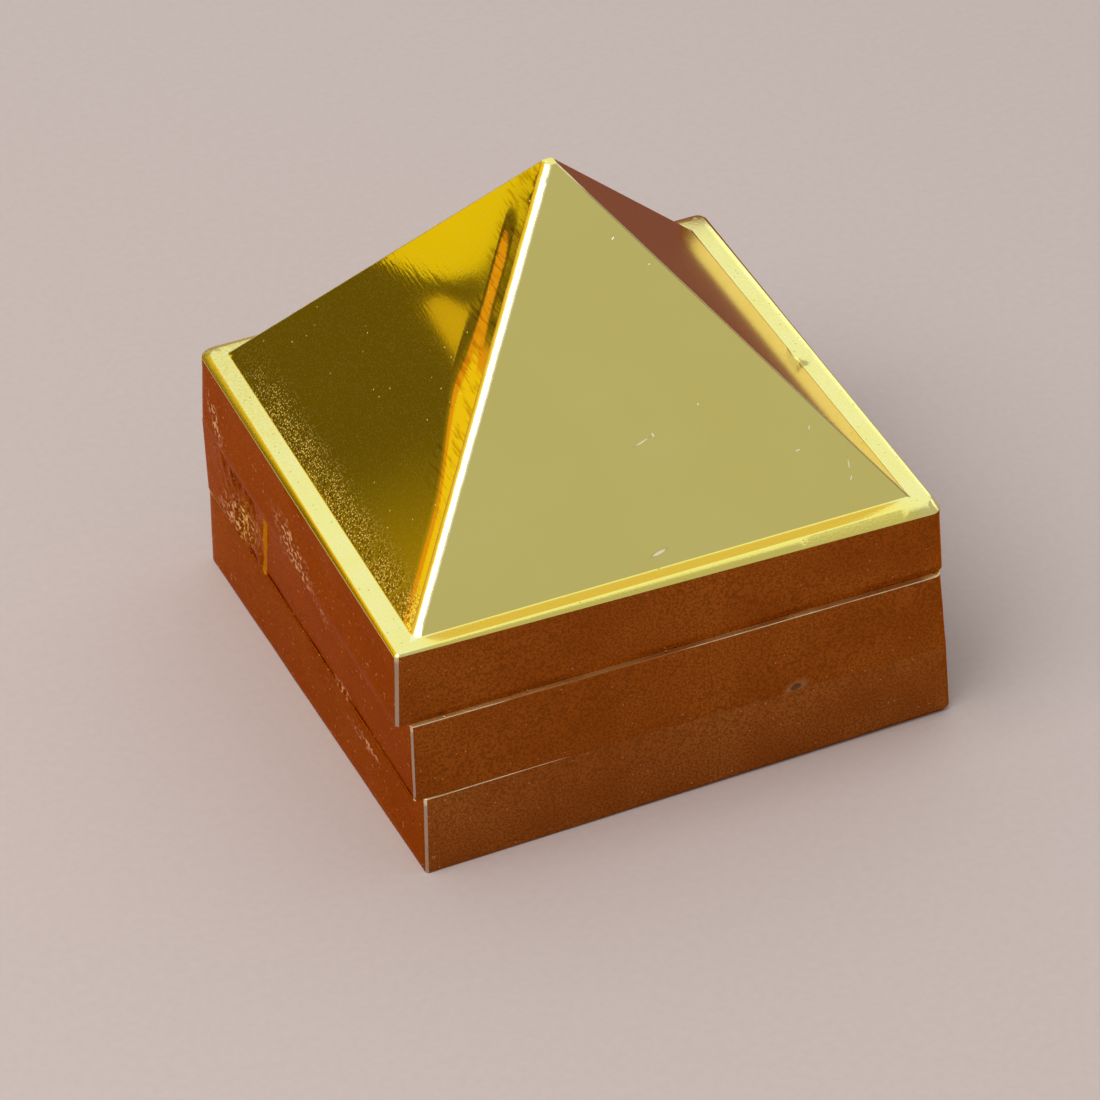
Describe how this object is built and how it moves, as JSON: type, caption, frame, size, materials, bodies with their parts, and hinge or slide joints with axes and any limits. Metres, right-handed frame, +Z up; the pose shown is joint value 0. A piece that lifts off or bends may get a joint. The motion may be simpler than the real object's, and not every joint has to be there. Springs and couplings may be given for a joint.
{
  "type": "vastu pyramid",
  "caption": "Gilt brass vastu pyramid in stacked square layers: a hollow pyramid lid lifts off two trays that carry rows of small pyramids.",
  "frame": {"origin": "centre of the flat underside of the base tray", "axes": "+Z up through the tip of the pyramid, X and Y along the sides of the base tray"},
  "size_m": [0.0393, 0.0388, 0.0386],
  "materials": {
    "lid_gilt": "gold-plated cast brass, polished to a mirror satin, with fine scratches",
    "tray_gilt": "gold-plated cast brass, satin, with casting pits",
    "small_gilt": "gold-plated cast brass, satin"
  },
  "bodies": {
    "base": {"base_tray": "tray_gilt", "base_pyramid_1": "small_gilt", "base_pyramid_2": "small_gilt", "base_pyramid_3": "small_gilt", "base_pyramid_4": "small_gilt", "base_pyramid_5": "small_gilt", "base_pyramid_6": "small_gilt", "base_pyramid_7": "small_gilt", "base_pyramid_8": "small_gilt", "base_pyramid_9": "small_gilt"},
    "middle": {"middle_tray": "tray_gilt", "middle_pyramid_1": "small_gilt", "middle_pyramid_2": "small_gilt", "middle_pyramid_3": "small_gilt", "middle_pyramid_4": "small_gilt", "middle_pyramid_5": "small_gilt", "middle_pyramid_6": "small_gilt", "middle_pyramid_7": "small_gilt", "middle_pyramid_8": "small_gilt", "middle_pyramid_9": "small_gilt"},
    "lid": {"pyramid_lid": "lid_gilt"}
  },
  "joints": [
    {"name": "middle_lift", "type": "slide", "parent": "base", "child": "middle", "axis": [0, 0, 1], "range_m": [0, 0.012]},
    {"name": "lid_lift", "type": "slide", "parent": "middle", "child": "lid", "axis": [0, 0, 1], "range_m": [0, 0.016]}
  ]
}
